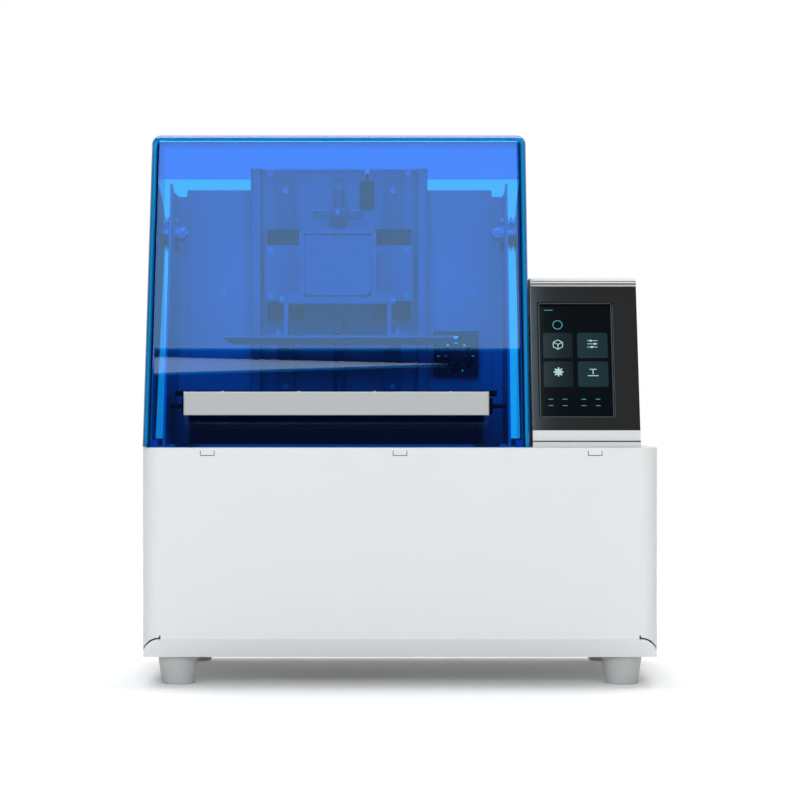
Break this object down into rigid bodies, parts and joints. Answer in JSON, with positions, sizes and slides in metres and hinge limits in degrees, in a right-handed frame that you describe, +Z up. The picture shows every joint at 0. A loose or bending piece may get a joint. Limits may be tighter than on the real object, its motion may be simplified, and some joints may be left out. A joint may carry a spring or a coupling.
{
  "type": "resin printer",
  "caption": "Desktop resin printer: tinted lid hinged on its sides, rail-guided build platform on a lead screw, lift-out vat, leaning touch console on a square body.",
  "frame": {"origin": "on the floor under the middle of the body", "axes": "+Z up, front of the machine towards -Y, console on the +X side"},
  "size_m": [0.434, 0.33, 0.4725],
  "materials": {
    "shell_white": "fine satin powder coat",
    "inner_steel": "plain zinc-plated sheet",
    "rear_grey": "fine satin powder coat",
    "foot_grey": "matt",
    "screw_steel": "bright",
    "black_plastic": "fine moulded grain",
    "black_metal": "black anodised",
    "plain_metal": "machined, satin",
    "rail_steel": "ground",
    "screw_shaft": "ground, bright",
    "nut_brass": "turned",
    "vat_black": "polished",
    "film_clear": "clear film",
    "lid_blue": "clear tinted, polished",
    "handle_grey": "satin",
    "bumper_rubber": "soft, translucent",
    "cover_glass": "polished",
    "lens_clear": "clear",
    "console_white": "fine grain",
    "console_black": "polished",
    "trim_bright": "brushed bright",
    "display_glass": "polished",
    "board_green": "solder mask",
    "motor_black": "satin",
    "cable_black": "matt"
  },
  "bodies": {
    "chassis": {"body_shell": "shell_white", "base_pan": "inner_steel", "feet": "foot_grey", "chassis_screws": "screw_steel", "rear_panel": "rear_grey", "rear_sockets": "black_plastic", "exhaust_fan_frame": "black_plastic", "deck_plate": "shell_white", "optics_housing": "black_plastic", "lcd_panel": "cover_glass", "screen_glass": "cover_glass", "collimating_lens": "lens_clear", "led_board": "board_green", "heat_sink": "plain_metal", "led_fan_frame": "black_plastic", "circuit_boards": "board_green", "power_supply": "inner_steel", "z_motor": "motor_black", "motor_mounts": "inner_steel", "z_column": "black_metal", "linear_rails": "rail_steel", "tower_screws": "screw_steel", "limit_switch": "black_plastic", "switch_cable": "cable_black", "side_plates": "black_metal", "hinge_hardware": "screw_steel", "back_wall": "black_metal", "filter_housing": "black_plastic", "chamber_fan_frame": "black_plastic", "console_housing": "console_white", "console_panel": "console_black", "touch_display": "display_glass", "console_trims": "trim_bright"},
    "lid": {"lid_shell": "lid_blue", "lid_hinge_plates": "black_metal", "lid_handle": "handle_grey", "handle_screws": "screw_steel", "lid_bumpers": "bumper_rubber"},
    "carriage": {"rail_blocks": "black_metal", "carriage_plate": "black_metal", "plate_screws": "screw_steel", "screw_nut": "nut_brass", "arm": "black_metal"},
    "screw": {"lead_screw": "screw_shaft", "shaft_coupler": "plain_metal"},
    "platform": {"clamp_hanger": "black_metal", "platform_brackets": "black_metal", "bracket_bolts": "screw_steel", "build_plate": "plain_metal"},
    "clamp_pad": {"clamp_pad": "nut_brass"},
    "clamp_knob": {"clamp_knob": "plain_metal"},
    "vat": {"vat_frame": "vat_black", "vat_film": "film_clear", "film_ring": "inner_steel"},
    "vat_clamp_left": {"vat_clamp_screw_left": "black_metal"},
    "vat_clamp_right": {"vat_clamp_screw_right": "black_metal"},
    "rocker": {"power_rocker": "black_plastic"},
    "exhaust_rotor": {"exhaust_fan_rotor": "black_plastic"},
    "led_rotor": {"led_fan_rotor": "black_plastic"},
    "chamber_rotor": {"chamber_fan_rotor": "black_plastic"}
  },
  "joints": [
    {"name": "lid_hinge", "type": "hinge", "parent": "chassis", "child": "lid", "pos_m": [0, -0.001, 0.388], "axis": [-1, 0, 0], "range_deg": [0, 75]},
    {"name": "carriage_lift", "type": "slide", "parent": "chassis", "child": "carriage", "axis": [0, 0, 1], "range_m": [-0.086, 0.028]},
    {"name": "screw_turn", "type": "hinge", "parent": "chassis", "child": "screw", "pos_m": [-0.0545, 0.024, 0.2], "axis": [0, 0, 1], "range_deg": [-2020, 6200]},
    {"name": "platform_slide", "type": "slide", "parent": "carriage", "child": "platform", "axis": [0, -1, 0], "range_m": [0, 0.012]},
    {"name": "pad_lift", "type": "slide", "parent": "platform", "child": "clamp_pad", "axis": [0, 0, 1], "range_m": [0, 0.004]},
    {"name": "knob_turn", "type": "hinge", "parent": "clamp_pad", "child": "clamp_knob", "pos_m": [-0.0545, -0.031, 0.4], "axis": [0, 0, 1], "range_deg": [-8, 1160]},
    {"name": "vat_lift", "type": "slide", "parent": "chassis", "child": "vat", "axis": [0, 0, 1], "range_m": [0, 0.018]},
    {"name": "vat_screw_left_turn", "type": "hinge", "parent": "chassis", "child": "vat_clamp_left", "pos_m": [-0.19, -0.065, 0.2355], "axis": [-1, 0, 0], "range_deg": [0, 720]},
    {"name": "vat_screw_right_turn", "type": "hinge", "parent": "chassis", "child": "vat_clamp_right", "pos_m": [0.08, -0.065, 0.2355], "axis": [1, 0, 0], "range_deg": [0, 720]},
    {"name": "rocker_tilt", "type": "hinge", "parent": "chassis", "child": "rocker", "pos_m": [0.15, 0.159, 0.112], "axis": [1, 0, 0], "range_deg": [0, 28]},
    {"name": "exhaust_spin", "type": "hinge", "parent": "chassis", "child": "exhaust_rotor", "pos_m": [-0.0545, 0.15, 0.108], "axis": [0, 1, 0], "continuous": true},
    {"name": "led_fan_spin", "type": "hinge", "parent": "chassis", "child": "led_rotor", "pos_m": [-0.0545, -0.053, 0.05], "axis": [0, 0, 1], "continuous": true},
    {"name": "chamber_fan_spin", "type": "hinge", "parent": "chassis", "child": "chamber_rotor", "pos_m": [0.0504, 0.038, 0.2828], "axis": [0, 1, 0], "continuous": true}
  ],
  "couplings": [
    {"joint": "screw_turn", "follows": "carriage_lift", "rad_per_m": -1256.6},
    {"joint": "knob_turn", "follows": "pad_lift", "rad_per_m": 5026.5}
  ]
}
